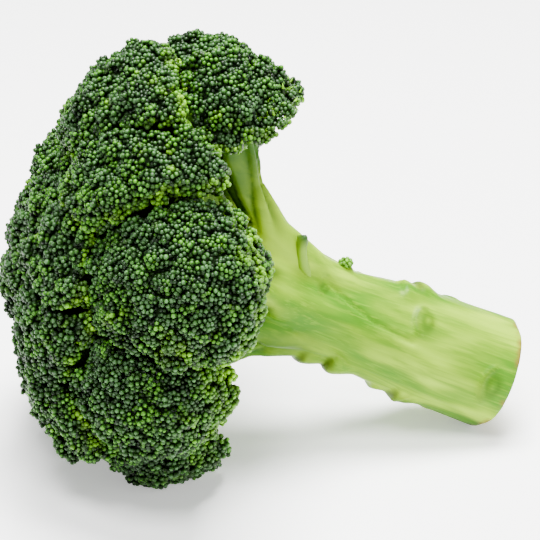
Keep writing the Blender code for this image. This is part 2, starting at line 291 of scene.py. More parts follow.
@dataclass(frozen=True)
class FleshFinish(Finish):
    """Stalk flesh under its thin waxy skin: juicy, a little translucent, with long faint veins.

    Light goes a few millimetres into it, which softens its shading, and the skin has a satin shine.
    """

    head: HeadFrame
    lime: str = "#407200"
    fresh: str = "#628700"
    pale: str = "#8bae10"
    vein: str = "#386900"
    # Green of the painted shade in the branches' grooves, under the hub and under the crown, also of the
    # scars' middles.
    deep: str = "#1f4400"
    scar: str = "#3f520c"
    dried: str = "#6e4f24"
    patch: float = 13 * MM
    # Fibre bundles under the skin are about half a millimetre wide. These are coarser, so that they show.
    vein_width: float = 1.6 * MM
    fibre_width: float = 0.8 * MM
    depth: float = 2 * MM  # how far light goes into the flesh
    relief: float = 0.25 * MM

    def streaks(self, tree: bpy.types.NodeTree, share: float, width: float) -> bpy.types.NodeSocket:
        """Noise that runs along the stalk.

        Args:
            tree: the material's nodes.
            share: how much the noise is squeezed along the stalk.
            width: how wide its features are.

        Returns:
            The noise's socket.
        """
        inputs = {
            "Vector": add_node(tree, PLACES).outputs["Object"],
            "Location": tuple(self.head.hub),
            "Rotation": tuple(self.head.turn.to_euler()),
            "Scale": (1.0, 1.0, 1 / share),
        }
        along = add_node(tree, "ShaderNodeMapping", {"vector_type": "TEXTURE"}, inputs).outputs["Vector"]
        inputs = {"Vector": along, "Scale": 1 / width, "Detail": 2.0, "Roughness": 0.55}
        return add_node(tree, NOISE, None, inputs).outputs["Fac"]

    def shade(self, tree: bpy.types.NodeTree, shader: bpy.types.Node) -> None:
        """Layers patches, veins, pale parts that are partly a painted highlight, painted shade in grooves and
        under the crown, scars and the dried rim of the cut.

        Args:
            tree: the material's nodes.
            shader: its Principled shader.
        """
        patches = self.streaks(tree, 0.3, self.patch)
        veins = self.streaks(tree, 0.05, self.vein_width)
        fibres = self.streaks(tree, 0.03, self.fibre_width)
        stops = {0.38: self.lime, 0.5: self.fresh, 0.64: self.pale}
        colour = add_node(tree, RAMP, None, {"Fac": patches}, stops).outputs["Color"]
        layers = []
        for streak, most, hue in ((veins, 0.5, self.vein), (fibres, 0.3, self.pale)):
            inputs = dict(zip(RANGE_INPUTS, (streak, 0.5, 0.7, 0.0, most)))
            layers.append((add_node(tree, RANGE, None, inputs).outputs[0], hue))
        # The pale attribute is partly a painted highlight along the stalk's upper side; the groove attribute
        # is painted shade with the scars' own darker middles.
        layers += [
            (add_node(tree, ATTRIBUTE, {"attribute_name": name}).outputs["Fac"], hue)
            for name, hue in (
                ("pale", self.pale),
                ("groove", self.deep),
                ("scar", self.scar),
                ("dried", self.dried),
            )
        ]
        for share, hue in layers:
            inputs = {"Factor": share, "A": colour, "B": linear(hue)}
            colour = add_node(tree, MIX, COLOUR, inputs).outputs["Result"]
        inputs = {"Height": veins, "Strength": 0.35, "Distance": self.relief}
        tree.links.new(colour, shader.inputs["Base Color"])
        tree.links.new(add_node(tree, BUMP, None, inputs).outputs["Normal"], shader.inputs["Normal"])
        shader.inputs["Roughness"].default_value = 0.42
        shader.inputs["IOR"].default_value = 1.25
        shader.inputs["Specular IOR Level"].default_value = 0.3
        shader.inputs["Subsurface Weight"].default_value = 0.15
        shader.inputs["Subsurface Radius"].default_value = (0.9, 1.0, 0.05)
        shader.inputs["Subsurface Scale"].default_value = self.depth


@dataclass(frozen=True)
class CutFinish(Finish):
    """The knife's cut across the stalk: wet pale pith inside a greener ring of fibres and the skin.

    Its wetness gives it more shine than the skin, and the rim has begun to dry brown.
    """

    centre: Vector = field(default_factory=Vector, compare=False)
    radius: float = 20.6 * MM
    margin: float = 1.2 * MM  # the rings are drawn this much wider than the cut
    wander: float = 2.5 * MM  # how far the rings stray from a circle
    mottle_size: float = 2.4 * MM
    # Cut fibre bundles are about half a millimetre across. These dots are coarser, so that they show.
    fibre_pitch: float = 1.6 * MM
    depth: float = 2 * MM
    relief: float = 0.3 * MM
    pith: str = "#a9b56a"
    ring: str = "#7f9a2c"
    skin: str = "#6b8f0c"
    dried: str = "#8f6f3c"

    def shade(self, tree: bpy.types.NodeTree, shader: bpy.types.Node) -> None:
        """Draws the rings by distance from the stalk's axis, with fibre ends and knife marks.

        Args:
            tree: the material's nodes.
            shader: its Principled shader.
        """
        place = add_node(tree, PLACES).outputs["Object"]
        inputs = {0: place, 1: tuple(self.centre)}
        offset = add_node(tree, VECTOR_MATH, {"operation": "SUBTRACT"}, inputs).outputs["Vector"]
        distance = add_node(tree, VECTOR_MATH, {"operation": "LENGTH"}, {0: offset}).outputs["Value"]
        inputs = {"Vector": place, "Scale": 1 / self.mottle_size, "Detail": 4.0}
        mottle = add_node(tree, NOISE, None, inputs).outputs["Fac"]
        uneven = add_node(tree, MATH, TIMES_PLUS, {0: mottle, 1: self.wander, 2: distance}).outputs[0]
        inputs = {0: uneven, 1: self.radius + self.margin}
        share = add_node(tree, MATH, {"operation": "DIVIDE"}, inputs).outputs[0]
        stops = {
            0.0: self.pith,
            0.62: self.pith,
            0.76: self.ring,
            0.84: self.pith,
            0.93: self.skin,
            0.985: self.dried,
        }
        rings = add_node(tree, RAMP, None, {"Fac": share}, stops).outputs["Color"]
        inputs = {"Vector": place, "Scale": 1 / self.fibre_pitch}
        fibres = add_node(tree, VORONOI, {"feature": "F1"}, inputs).outputs["Distance"]
        dots = add_node(tree, RANGE, None, dict(zip(RANGE_INPUTS, (fibres, 0.12, 0.3, 0.35, 0.0)))).outputs[0]
        inputs = {"Factor": dots, "A": rings, "B": linear(self.ring)}
        dotted = add_node(tree, MIX, COLOUR, inputs).outputs["Result"]
        inputs = {"Height": mottle, "Strength": 0.5, "Distance": self.relief}
        tree.links.new(dotted, shader.inputs["Base Color"])
        tree.links.new(add_node(tree, BUMP, None, inputs).outputs["Normal"], shader.inputs["Normal"])
        shader.inputs["Roughness"].default_value = 0.3
        shader.inputs["Specular IOR Level"].default_value = 0.25
        shader.inputs["Subsurface Weight"].default_value = 0.2
        shader.inputs["Subsurface Scale"].default_value = self.depth


@dataclass(frozen=True)
class StemFinish(Finish):
    """Thin stems under the florets: tender, smooth and lime green, paler where they leave the branch."""

    pale: str = "#5b7d08"
    lime: str = "#2c5203"
    mottle_size: float = 3 * MM

    def shade(self, tree: bpy.types.NodeTree, shader: bpy.types.Node) -> None:
        """Fades the stems from pale to lime along their length.

        Args:
            tree: the material's nodes.
            shader: its Principled shader.
        """
        along = add_node(tree, ATTRIBUTE, {"attribute_name": "along"}).outputs["Fac"]
        place = add_node(tree, PLACES).outputs["Object"]
        inputs = {"Vector": place, "Scale": 1 / self.mottle_size, "Detail": 2.0}
        mottle = add_node(tree, NOISE, None, inputs).outputs["Fac"]
        share = add_node(tree, MATH, TIMES_PLUS, {0: mottle, 1: 0.4, 2: along}).outputs[0]
        stops = {0.3: self.pale, 1.0: self.lime}
        green = add_node(tree, RAMP, None, {"Fac": share}, stops).outputs["Color"]
        tree.links.new(green, shader.inputs["Base Color"])
        shader.inputs["Roughness"].default_value = 0.42
        shader.inputs["IOR"].default_value = 1.25


@dataclass(frozen=True)
class LeafFinish(Finish):
    """Small leaf tissue: thin, waxy and smooth, with a soft shine, from a pale base to a green tip."""

    base: str = "#6b8f02"
    tip: str = "#1f4206"

    def shade(self, tree: bpy.types.NodeTree, shader: bpy.types.Node) -> None:
        """Fades the leaf from its base to its tip.

        Args:
            tree: the material's nodes.
            shader: its Principled shader.
        """
        along = add_node(tree, ATTRIBUTE, {"attribute_name": "along"}).outputs["Fac"]
        stops = {0.6: self.base, 0.95: self.tip}
        green = add_node(tree, RAMP, None, {"Fac": along}, stops).outputs["Color"]
        tree.links.new(green, shader.inputs["Base Color"])
        shader.inputs["Roughness"].default_value = 0.42
        shader.inputs["Specular IOR Level"].default_value = 0.2


@dataclass(frozen=True)
class FloorFinish(Finish):
    """A white opal light table: matt, and lit a little from below, which softens the shadows."""

    white: str = "#fbfbfa"
    glow: float = 0.5

    def shade(self, tree: bpy.types.NodeTree, shader: bpy.types.Node) -> None:
        """Sets one white all over.

        Args:
            tree: the material's nodes.
            shader: its Principled shader.
        """
        shader.inputs["Base Color"].default_value = linear(self.white)
        shader.inputs["Roughness"].default_value = 0.75
        shader.inputs["Emission Color"].default_value = linear(self.white)
        shader.inputs["Emission Strength"].default_value = self.glow


BUDS = BudFinish("Waxed flower buds")
BED = BedFinish("Floret tissue")
STEMS = StemFinish("Tender floret stems")
LEAF = LeafFinish("Small waxy leaf")
FLOOR = FloorFinish("White opal light table")


def positions(mesh: bpy.types.Mesh) -> np.ndarray:
    """Reads a mesh's corners.

    Args:
        mesh: the mesh.

    Returns:
        One row for each corner.
    """
    flat = np.empty(len(mesh.vertices) * 3, np.float32)
    mesh.vertices.foreach_get("co", flat)
    return flat.reshape(-1, 3).astype(float)


def move_corners(mesh: bpy.types.Mesh, places: np.ndarray) -> None:
    """Puts a mesh's corners at the rows of an array."""
    mesh.vertices.foreach_set("co", places.astype(np.float32).ravel())
    mesh.update()


def corner_normals(mesh: bpy.types.Mesh) -> np.ndarray:
    """Reads a mesh's smooth normals.

    Args:
        mesh: the mesh.

    Returns:
        One row for each corner.
    """
    flat = np.empty(len(mesh.vertices) * 3, np.float32)
    mesh.vertex_normals.foreach_get("vector", flat)
    return flat.reshape(-1, 3).astype(float)


def paint(mesh: bpy.types.Mesh, name: str, values: np.ndarray) -> None:
    """Stores a number or a vector for each corner under a name.

    Args:
        mesh: the mesh to paint.
        name: the attribute's name.
        values: one value, or one row of three, for each corner.
    """
    kind, key = ("FLOAT_VECTOR", "vector") if values.ndim == 2 else ("FLOAT", "value")
    layer = mesh.attributes.get(name) or mesh.attributes.new(name, kind, "POINT")
    layer.data.foreach_set(key, values.astype(np.float32).ravel())


def link(name: str, mesh: bpy.types.Mesh) -> bpy.types.Object:
    """Puts a mesh in the scene.

    Args:
        name: the new object's name.
        mesh: its mesh.

    Returns:
        The new object.
    """
    made = bpy.data.objects.new(name, mesh)
    bpy.context.scene.collection.objects.link(made)
    return made


def evaluated(made: bpy.types.Object) -> bpy.types.Mesh:
    """Turns an object's modifiers into a plain mesh.

    Args:
        made: the object, whose modifiers are removed.

    Returns:
        The mesh that the object now has.
    """
    graph = bpy.context.evaluated_depsgraph_get()
    mesh = bpy.data.meshes.new_from_object(made.evaluated_get(graph), depsgraph=graph)
    made.modifiers.clear()
    made.data = mesh
    return mesh


def smooth_copy(name: str, node: str, voxel: float, rounds: int) -> bpy.types.Object:
    """A smooth even-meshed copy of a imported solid.

    Args:
        name: the copy's name.
        node: the solid's node.
        voxel: the length of the new mesh's edges.
        rounds: how often it is smoothed.

    Returns:
        The copy, with no modifiers.
    """
    shell = bmesh.new()
    shell.from_mesh(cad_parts[node].data)
    bmesh.ops.remove_doubles(shell, verts=shell.verts, dist=0.001 * MM)
    mesh = bpy.data.meshes.new(name)
    shell.to_mesh(mesh)
    shell.free()
    made = link(name, mesh)
    remesh = made.modifiers.new("even", "REMESH")
    remesh.mode = "VOXEL"
    remesh.voxel_size = voxel
    remesh.use_smooth_shade = True
    soften = made.modifiers.new("soft", "SMOOTH")
    soften.iterations = rounds
    evaluated(made)
    return made


def smoothstep(values: np.ndarray, low: float, high: float) -> np.ndarray:
    """0 below low, 1 above high and a smooth rise between."""
    share = np.clip((values - low) / (high - low), 0, 1)
    return share * share * (3 - 2 * share)


def noise_at(points: np.ndarray, period: float, offset: float = 0.0) -> np.ndarray:
    """Smooth noise from about -1 to 1 at each row, with features of this length."""
    shift = Vector((offset, offset * 0.7, -offset))
    return np.array([noise.noise(Vector(point) / period + shift) for point in points])


def join(first: bpy.types.Object, second: bpy.types.Object) -> None:
    """Adds one object's mesh to another's.

    Args:
        first: the object that is kept.
        second: the object that goes into it.
    """
    both = [first, second]
    with bpy.context.temp_override(
        active_object=first, object=first, selected_objects=both, selected_editable_objects=both
    ):
        bpy.ops.object.join()


def hand_over(piece: bpy.types.Object, slot: Slot, *nodes: str) -> None:
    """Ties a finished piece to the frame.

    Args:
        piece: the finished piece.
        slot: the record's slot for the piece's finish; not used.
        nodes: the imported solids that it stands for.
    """
    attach(piece, "root")
    if nodes:
        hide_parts(*nodes)
    faces = sum(len(face.vertices) - 2 for face in piece.data.polygons)
    log.info("%s: %d triangles", piece.name, faces)


@dataclass
class BudShape:
    """The mesh that every bud is a copy of, one unit in radius."""

    name: str
    profile: tuple[tuple[float, float, float], ...]
    sides: int = 5

    def build(self) -> bpy.types.Object:
        """Turns the profile round its axis, closed by a point at each end.

        Returns:
            An object that Geometry Nodes copy. Its rows are radius, height and how near the tip they are.
        """
        shell = bmesh.new()
        foot = shell.verts.new((0, 0, self.profile[0][1]))
        tips = [self.profile[0][2]]
        rings = []
        for i, (radius, height, tip) in enumerate(self.profile[1:-1]):
            ring = []
            for k in range(self.sides):
                turn = math.tau * (k + 0.5 * (i % 2)) / self.sides
                ring.append(shell.verts.new((radius * math.cos(turn), radius * math.sin(turn), height)))
                tips.append(tip)
            rings.append(ring)
        top = shell.verts.new((0, 0, self.profile[-1][1]))
        tips.append(self.profile[-1][2])
        for k in range(self.sides):
            shell.faces.new((rings[0][k], rings[0][k - 1], foot))
            for low, high in zip(rings, rings[1:]):
                shell.faces.new((low[k - 1], low[k], high[k], high[k - 1]))
            shell.faces.new((rings[-1][k - 1], rings[-1][k], top))
        mesh = bpy.data.meshes.new(self.name)
        shell.to_mesh(mesh)
        shell.free()
        for face in mesh.polygons:
            face.use_smooth = True
        paint(mesh, "tip", np.array(tips))
        return bpy.data.objects.new(self.name, mesh)


@dataclass
class BudField:
    """A Geometry Nodes tree that plants buds on a surface, in small clusters that each fan out.

    The surface's own attributes steer it: open is the share of buds that stand there, grow the way
    that they point, and loose the chance that one stands on a short stem.
    """

    spacing: float = 1.26 * MM
    smallest: float = 0.8 * MM
    largest: float = 1.16 * MM
    cluster: float = 4.6 * MM
    cluster_rise: float = 2.0 * MM
    tree: bpy.types.NodeTree = field(init=False)
    sockets: dict[str, str] = field(init=False, default_factory=dict)

    def __post_init__(self) -> None:
        """Builds the tree."""
        self.tree = bpy.data.node_groups.new("Bud field", "GeometryNodeTree")
        for name, kind in (
            ("Geometry", "NodeSocketGeometry"),
            ("Spacing", "NodeSocketFloat"),
            ("Smallest bud", "NodeSocketFloat"),
            ("Largest bud", "NodeSocketFloat"),
            ("Cluster size", "NodeSocketFloat"),
            ("Cluster rise", "NodeSocketFloat"),
            ("Seed", "NodeSocketInt"),
            ("Sessile bud", "NodeSocketObject"),
            ("Pointed bud", "NodeSocketObject"),
            ("Stemmed bud", "NodeSocketObject"),
            ("Finish", "NodeSocketMaterial"),
        ):
            socket = self.tree.interface.new_socket(name, in_out="INPUT", socket_type=kind)
            self.sockets[name] = socket.identifier
        self.tree.interface.new_socket("Geometry", in_out="OUTPUT", socket_type="NodeSocketGeometry")
        given = add_node(self.tree, "NodeGroupInput").outputs
        read = {
            name: add_node(self.tree, NAMED, {"data_type": kind}, {"Name": name}).outputs["Attribute"]
            for name, kind in (
                ("open", "FLOAT"),
                ("grow", "FLOAT_VECTOR"),
                ("loose", "FLOAT"),
                ("aim", "FLOAT_VECTOR"),
            )
        }
        points = self.clustered(self.planted(given, read), given, read)
        buds = self.instanced(points, given, read)
        tone = add_node(self.tree, RANDOM, {"data_type": "FLOAT"}, {2: 0.0, 3: 1.0, "Seed": 5}).outputs[1]
        settings = {"data_type": "FLOAT", "domain": "INSTANCE"}
        inputs = {"Geometry": buds, "Name": "tone", "Value": tone}
        toned = add_node(self.tree, STORE, settings, inputs).outputs[0]
        real = add_node(self.tree, "GeometryNodeRealizeInstances", None, {0: toned}).outputs[0]
        inputs = {"Geometry": real, "Material": given["Finish"]}
        dressed = add_node(self.tree, "GeometryNodeSetMaterial", None, inputs).outputs[0]
        add_node(self.tree, "NodeGroupOutput", None, {0: dressed})

    def planted(
        self, given: bpy.types.NodeOutputs, read: dict[str, bpy.types.NodeSocket]
    ) -> bpy.types.NodeSocket:
        """Points that keep their distance, only where the surface is open.

        Args:
            given: the tree's inputs.
            read: the surface's attributes, by name.

        Returns:
            The points' socket.
        """
        inputs = {
            "Mesh": given["Geometry"],
            "Distance Min": given["Spacing"],
            "Density Max": 4.0e6,
            "Density Factor": read["open"],
            "Seed": given["Seed"],
        }
        settings = {"distribute_method": "POISSON"}
        return add_node(self.tree, "GeometryNodeDistributePointsOnFaces", settings, inputs).outputs["Points"]

    def clustered(
        self,
        points: bpy.types.NodeSocket,
        given: bpy.types.NodeOutputs,
        read: dict[str, bpy.types.NodeSocket],
    ) -> bpy.types.NodeSocket:
        """Sinks the points between clusters, and turns each bud away from its cluster's middle.

        Args:
            points: the planted points.
            given: the tree's inputs.
            read: the surface's attributes, by name.

        Returns:
            The points with attributes aim, border, which is their distance from the cluster's edge,
            and family, a number that a cluster's buds share.
        """
        tree = self.tree
        place = add_node(tree, "GeometryNodeInputPosition").outputs[0]
        inputs = {0: 1.0, 1: given["Cluster size"]}
        each = add_node(tree, MATH, {"operation": "DIVIDE"}, inputs).outputs[0]
        cells = add_node(tree, VORONOI, {"feature": "F1"}, {"Vector": place, "Scale": each}).outputs
        inputs = {0: place, 1: cells["Position"]}
        away = add_node(tree, VECTOR_MATH, {"operation": "SUBTRACT"}, inputs).outputs[0]
        lean = add_node(tree, VECTOR_MATH, {"operation": "SCALE"}, {0: away, "Scale": each}).outputs[0]
        aim = add_node(tree, VECTOR_MATH, {"operation": "ADD"}, {0: read["grow"], 1: lean}).outputs[0]
        family = add_node(tree, "ShaderNodeSeparateXYZ", None, {0: cells["Color"]}).outputs[0]
        inputs = dict(zip(RANGE_INPUTS, (cells["Distance"], 0.25, 0.75, 0.35, -0.65)))
        sunk = add_node(tree, RANGE, {"interpolation_type": "SMOOTHSTEP"}, inputs).outputs[0]
        depth = add_node(tree, MATH, TIMES, {0: sunk, 1: given["Cluster rise"]}).outputs[0]
        inputs = {0: read["grow"], "Scale": depth}
        offset = add_node(tree, VECTOR_MATH, {"operation": "SCALE"}, inputs).outputs[0]
        inputs = {"Vector": place, "Scale": each}
        border = add_node(tree, VORONOI, {"feature": "DISTANCE_TO_EDGE"}, inputs).outputs["Distance"]
        stored = points
        for name, value, kind in (
            ("aim", aim, "FLOAT_VECTOR"),
            ("family", family, "FLOAT"),
            ("border", border, "FLOAT"),
        ):
            settings = {"data_type": kind, "domain": "POINT"}
            inputs = {"Geometry": stored, "Name": name, "Value": value}
            stored = add_node(tree, STORE, settings, inputs).outputs[0]
        inputs = {"Geometry": stored, "Offset": offset}
        return add_node(tree, "GeometryNodeSetPosition", None, inputs).outputs[0]

    def instanced(
        self,
        points: bpy.types.NodeSocket,
        given: bpy.types.NodeOutputs,
        read: dict[str, bpy.types.NodeSocket],
    ) -> bpy.types.NodeSocket:
        """Stands a bud on each point. Each random value has a seed of its own.

        Args:
            points: the points, with their aim.
            given: the tree's inputs.
            read: the surface's attributes, by name.

        Returns:
            The buds as instances.
        """
        tree = self.tree
        kinds = add_node(tree, "GeometryNodeJoinGeometry")
        for name in ("Stemmed bud", "Pointed bud", "Sessile bud"):
            settings = {"transform_space": "ORIGINAL"}
            shape = add_node(tree, "GeometryNodeObjectInfo", settings, {"Object": given[name]})
            inputs = {0: shape.outputs["Geometry"]}
            single = add_node(tree, "GeometryNodeGeometryToInstance", None, inputs).outputs[0]
            tree.links.new(single, kinds.inputs[0])
        chance = add_node(tree, RANDOM, {"data_type": "FLOAT"}, {2: 0.0, 3: 1.0, "Seed": 1}).outputs[1]
        inputs = {0: chance, 1: read["loose"]}
        on_stem = add_node(tree, "FunctionNodeCompare", {"operation": "LESS_THAN"}, inputs).outputs[0]
        either = add_node(tree, RANDOM, {"data_type": "INT"}, {4: 0, 5: 1, "Seed": 2}).outputs[2]
        inputs = {0: on_stem, 1: either, 2: 2}
        index = add_node(tree, "GeometryNodeSwitch", {"input_type": "INT"}, inputs).outputs[0]
        inputs = {"Vector": read["aim"]}
        aim = add_node(tree, "FunctionNodeAlignRotationToVector", {"axis": "Z"}, inputs).outputs[0]
        inputs = {0: (-0.25, -0.25, -math.pi), 1: (0.25, 0.25, math.pi), "Seed": 3}
        spin = add_node(tree, RANDOM, {"data_type": "FLOAT_VECTOR"}, inputs).outputs[0]
        settings = {"rotation_space": "LOCAL"}
        turned = add_node(tree, "FunctionNodeRotateRotation", settings, {0: aim, 1: spin}).outputs[0]
        inputs = {2: given["Smallest bud"], 3: given["Largest bud"], "Seed": 4}
        size = add_node(tree, RANDOM, {"data_type": "FLOAT"}, inputs).outputs[1]
        inputs = {
            "Points": points,
            "Instance": kinds.outputs[0],
            "Pick Instance": True,
            "Instance Index": index,
            "Rotation": turned,
            "Scale": size,
        }
        return add_node(tree, "GeometryNodeInstanceOnPoints", None, inputs).outputs[0]

    def plant(self, surface: bpy.types.Object, shapes: dict[str, bpy.types.Object], seed: int) -> None:
        """Turns a surface into the buds that stand on it.

        Args:
            surface: the painted surface, whose mesh the buds replace.
            shapes: the bud shapes, by the tree's input names.
            seed: the seed for the buds' places.
        """
        modifier = surface.modifiers.new("buds", "NODES")
        modifier.node_group = self.tree
        values = {
            "Spacing": self.spacing,
            "Smallest bud": self.smallest,
            "Largest bud": self.largest,
            "Cluster size": self.cluster,
            "Cluster rise": self.cluster_rise,
            "Seed": seed,
            "Finish": BUDS.material(),
            **shapes,
        }
        for name, value in values.items():
            modifier[self.sockets[name]] = value
        evaluated(surface)


@dataclass
class Floret:
    """One floret: a bed with tufts of buds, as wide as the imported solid."""

    node: str
    head: HeadFrame
    seed: int
    voxel: float = 1.25 * MM
    bed_voxel: float = 2.7 * MM
    smoothing: int = 12
    bed_smoothing: int = 5
    tuft_pitch: float = 6.8 * MM
    tuft_rise: float = 2.6 * MM
    tuft_range: tuple[float, float] = (0.55, 1.15)  # each tuft's share of that rise
    crevice_width: float = 3.2 * MM  # where two tufts meet
    crevice_shade: tuple[float, float] = (0.3 * MM, 2.4 * MM)  # the same for the part where two tufts meet that gets painted shade
    underside: float = 50 * MM
    inset: float = 1.4 * MM
    bed_depth: float = 0.8 * MM  # the bed lies this far below the buds' feet
    hollowed: float = 6 * MM
    lift: float = 0.0
    bare: float = 0.7  # share of buds that is left out underneath
    probe: float = 5 * MM  # how far a corner looks for a neighbour
    bud_room: float = 1.2 * MM  # with less room than this there are no buds
    floor_share: float = 0.15  # share of buds that is left on the spot that presses on the floor

    def axis(self) -> np.ndarray:
        """Unit vector from the hub through the floret's middle."""
        low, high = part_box(self.node)
        return np.array(((low + high) / 2 - self.head.hub).normalized())

    def tufts(self, places: np.ndarray, is_open: np.ndarray) -> tuple[np.ndarray, np.ndarray]:
        """How far the tufts raise each corner, and how much painted shade it gets where two tufts meet.

        Args:
            places: the surface's corners.
            is_open: the share of buds at each.

        Returns:
            A rise, and 0 to 1 for the painted shade where two tufts meet, for each corner.
        """
        draw = np.random.default_rng(self.seed)
        order = draw.permutation(np.flatnonzero(is_open > 0.5))
        middles = np.empty((0, 3))
        for i in order:
            if not len(middles) or ((middles - places[i]) ** 2).sum(axis=1).min() > self.tuft_pitch**2:
                middles = np.vstack((middles, places[i]))
        gaps = np.linalg.norm(places[:, None] - middles[None], axis=2)
        nearest = np.argmin(gaps, axis=1)
        two = np.sort(gaps, axis=1)[:, :2]
        height = draw.uniform(*self.tuft_range, len(middles))[nearest] * self.tuft_rise
        apart = two[:, 1] - two[:, 0]
        rise = height * smoothstep(apart, 0, self.crevice_width) ** 0.7
        return rise, 1 - smoothstep(apart, *self.crevice_shade)

    def hollow(self, places: np.ndarray, facing: np.ndarray) -> np.ndarray:
        """How far the underside is raised, so that the stems below it show.

        Args:
            places: the surface's corners.
            facing: how much each faces along the floret's axis.

        Returns:
            A rise for each corner.
        """
        axis = self.axis()
        offset = places - np.array(self.head.hub)
        aside = np.linalg.norm(offset - (offset @ axis)[:, None] * axis, axis=1)
        low = 1 - smoothstep(offset @ axis - (offset @ axis).min(), 2 * MM, 16 * MM)
        inside = smoothstep(-facing, 0.5, 0.9) * (1 - smoothstep(aside, 11 * MM, 21 * MM))
        return self.hollowed * inside + self.lift * low

    def openness(self, places: np.ndarray, normals: np.ndarray, others: BVHTree) -> np.ndarray:
        """The share of buds at each corner: none where a neighbour or the floor is in the way.

        Args:
            places: the surface's corners.
            normals: its normals.
            others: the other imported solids.

        Returns:
            0 to 1 for each corner.
        """
        share = np.ones(len(places))
        for i, (place, normal) in enumerate(zip(places, normals)):
            way = Vector(normal)
            hit = others.ray_cast(Vector(place) + way * 0.2 * MM, way, self.probe)[3]
            if hit is not None:
                share[i] = min(1.0, max(0.0, (hit - self.bud_room) / (2.5 * MM)))
            if place[2] < 0.5 * MM and normal[2] < -0.7:
                share[i] = self.floor_share
        return share

    def build(self, others: BVHTree, field_: BudField, shapes: dict[str, bpy.types.Object]) -> None:
        """Makes the floret.

        Args:
            others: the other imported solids.
            field_: the tree that plants the buds.
            shapes: the bud shapes.
        """
        axis = self.axis()
        hub = np.array(self.head.hub)
        surface = smooth_copy(self.node + "_surface", self.node, self.voxel, self.smoothing)
        mesh = surface.data
        places, normals = positions(mesh), corner_normals(mesh)
        facing = normals @ axis
        depth = (places - hub) @ axis - self.underside
        under = smoothstep(-facing, 0.45, 0.85) * smoothstep(-depth, -7 * MM, -3 * MM)
        is_open = self.openness(places, normals, others) * (1 - self.bare * under)
        rise, painted_crevice_shade = self.tufts(places, is_open)
        raised = places + normals * (rise * is_open - self.inset)[:, None]
        move_corners(mesh, raised + axis * self.hollow(places, facing)[:, None])
        outward = places - (hub + axis * self.underside * 0.9)
        outward /= np.linalg.norm(outward, axis=1)[:, None]
        paint(mesh, "open", is_open)
        paint(mesh, "grow", corner_normals(mesh) * 0.7 + outward * 0.3)
        # Painted shade for the buds: where two tufts meet, and where few buds stand.
        paint(mesh, "painted_crevice_shade", np.maximum(painted_crevice_shade, smoothstep(1 - is_open, 0.05, 0.6)))
        self.age(mesh, places, facing)
        field_.plant(surface, shapes, self.seed)
        self.finish(self.bed(axis, hub), surface)

    def age(self, mesh: bpy.types.Mesh, places: np.ndarray, facing: np.ndarray) -> None:
        """Paints where buds are young: in patches, and towards the rim, where they are on stems too.

        Args:
            mesh: the surface to paint.
            places: its corners before the tufts were raised.
            facing: how much each faces along the floret's axis.
        """
        rim = smoothstep(-facing, -0.4, 0.25)
        patches = noise_at(places, 11 * MM, 3.1) * 0.5 + noise_at(places, 4 * MM, 7.7) * 0.5
        lime = smoothstep(patches, 0.22, 0.5) * 0.55 + rim * smoothstep(patches, -0.35, 0.2)
        region = noise_at(places, 24 * MM, 11.3) * 0.6 + noise_at(places, 9 * MM, 2.9) * 0.4
        paint(mesh, "loose", np.clip(rim * 0.9 + 0.06, 0, 1))
        paint(mesh, "lime", np.clip(lime, 0, 1))
        paint(mesh, "fresh", smoothstep(region, -0.1, 0.35) * 0.45 + rim * 0.4)

    def bed(self, axis: np.ndarray, hub: np.ndarray) -> bpy.types.Object:
        """The tissue that the buds stand on, hollowed a little underneath.

        Args:
            axis: the floret's axis.
            hub: where the branches meet.

        Returns:
            The bed, painted with how far each corner is underneath.
        """
        bed = smooth_copy(self.node + "_buds", self.node, self.bed_voxel, self.bed_smoothing)
        places, normals = positions(bed.data), corner_normals(bed.data)
        facing = normals @ axis
        depth = (places - hub) @ axis - self.underside
        under = smoothstep(-facing, 0.2, 0.7)
        sunk = places - normals * (self.inset + self.bed_depth)
        move_corners(bed.data, sunk + axis * self.hollow(places, facing)[:, None])
        paint(bed.data, "under", np.clip(under * smoothstep(-depth, -14 * MM, -2 * MM), 0, 1))
        bed.data.materials.clear()
        bed.data.materials.append(BED.material())
        return bed

    def finish(self, bed: bpy.types.Object, surface: bpy.types.Object) -> None:
        """Adds the buds to the bed and presses what would go under the floor flat on it.

        Args:
            bed: the bed.
            surface: the object that holds the buds.
        """
        join(bed, surface)
        places = positions(bed.data)
        places[:, 2] = np.maximum(places[:, 2], 0.02 * MM)
        move_corners(bed.data, places)
        hand_over(bed, Slot.BUDS, self.node)


